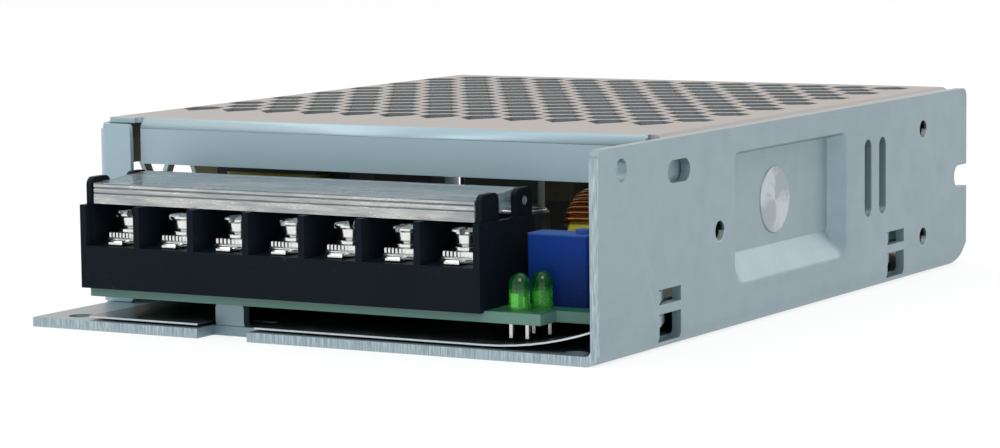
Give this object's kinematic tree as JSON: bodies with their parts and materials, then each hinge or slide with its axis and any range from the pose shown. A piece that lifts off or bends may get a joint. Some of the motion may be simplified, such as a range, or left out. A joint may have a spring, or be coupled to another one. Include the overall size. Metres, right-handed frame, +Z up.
{
  "type": "open frame power supply",
  "caption": "Open frame power supply: folded metal chassis with one side wall, perforated cover, circuit board, and a screw terminal block under a clear hinged lid.",
  "frame": {"origin": "middle of the width and of the length, on the underside of the chassis", "axes": "+X across the terminals towards the side wall, +Y from the terminals to the back, +Z up"},
  "size_m": [0.097, 0.129, 0.0295],
  "materials": {
    "chassis_sheet": "zinc plated sheet, satin",
    "cover_sheet": "zinc plated sheet, satin",
    "plated_screw": "bright nickel plate",
    "insulation_film": "smooth film",
    "board_laminate": "solder resist over glass laminate",
    "standoff_metal": "turned",
    "terminal_plastic": "moulded, fine grain",
    "contact_metal": "tin plate",
    "clamp_metal": "nickel plate",
    "terminal_screw_metal": "nickel plate",
    "clear_plastic": "clear moulding",
    "lamp_green": "tinted clear epoxy",
    "tinned_wire": "tinned",
    "sleeve_blue": "shrunk sleeve",
    "sleeve_black": "shrunk sleeve",
    "core_yellow": "paint over pressed powder",
    "copper_wire": "enamelled copper",
    "ferrite": "ground ferrite",
    "bobbin_plastic": "moulded",
    "bobbin_black": "moulded",
    "tape_yellow": "polyester tape",
    "film_yellow": "potted box",
    "disc_blue": "dipped",
    "disc_dark": "dipped",
    "fuse_glass": "clear tube",
    "epoxy_black": "moulded epoxy",
    "pad_grey": "filled silicone",
    "spring_metal": "spring steel",
    "chip_pale": "moulded epoxy",
    "trimmer_blue": "moulded",
    "resistor_body": "painted ceramic",
    "solder": "solder"
  },
  "bodies": {
    "case": {"base_chassis": "chassis_sheet", "cover": "cover_sheet", "cover_screws": "plated_screw", "insulation_sheet": "insulation_film", "circuit_board": "board_laminate", "board_standoffs": "standoff_metal", "board_screws": "plated_screw", "terminal_body": "terminal_plastic", "terminal_contacts": "contact_metal", "terminal_clamps": "clamp_metal", "terminal_screws": "terminal_screw_metal", "led_front": "lamp_green", "led_rear": "lamp_green", "led_leads": "tinned_wire", "front_capacitor": "sleeve_blue", "output_capacitors": "sleeve_black", "output_choke_core": "core_yellow", "output_choke_winding": "copper_wire", "line_choke_core": "ferrite", "line_choke_bobbin": "bobbin_plastic", "line_choke_winding": "tape_yellow", "film_capacitor": "film_yellow", "disc_capacitors": "disc_blue", "fuse_tube": "fuse_glass", "fuse_caps": "plated_screw", "varistor": "disc_blue", "inrush_thermistor": "disc_dark", "bridge_rectifier": "epoxy_black", "bulk_capacitors": "sleeve_black", "transformer_core": "ferrite", "transformer_bobbin": "bobbin_black", "transformer_winding": "tape_yellow", "switching_transistor": "epoxy_black", "output_rectifier": "epoxy_black", "device_leads": "tinned_wire", "thermal_pad": "pad_grey", "clamp_spring": "spring_metal", "clamp_rivet": "plated_screw", "controller_chip": "epoxy_black", "optocoupler": "chip_pale", "voltage_trimmer": "trimmer_blue", "control_board": "board_laminate", "snubber_resistors": "resistor_body", "solder_joints": "solder"},
    "lid": {"terminal_cover": "clear_plastic"}
  },
  "joints": [
    {"name": "lid_hinge", "type": "hinge", "parent": "case", "child": "lid", "pos_m": [-0.00395, -0.0508, 0.02055], "axis": [-1, 0, 0], "range_deg": [0, 120]}
  ]
}
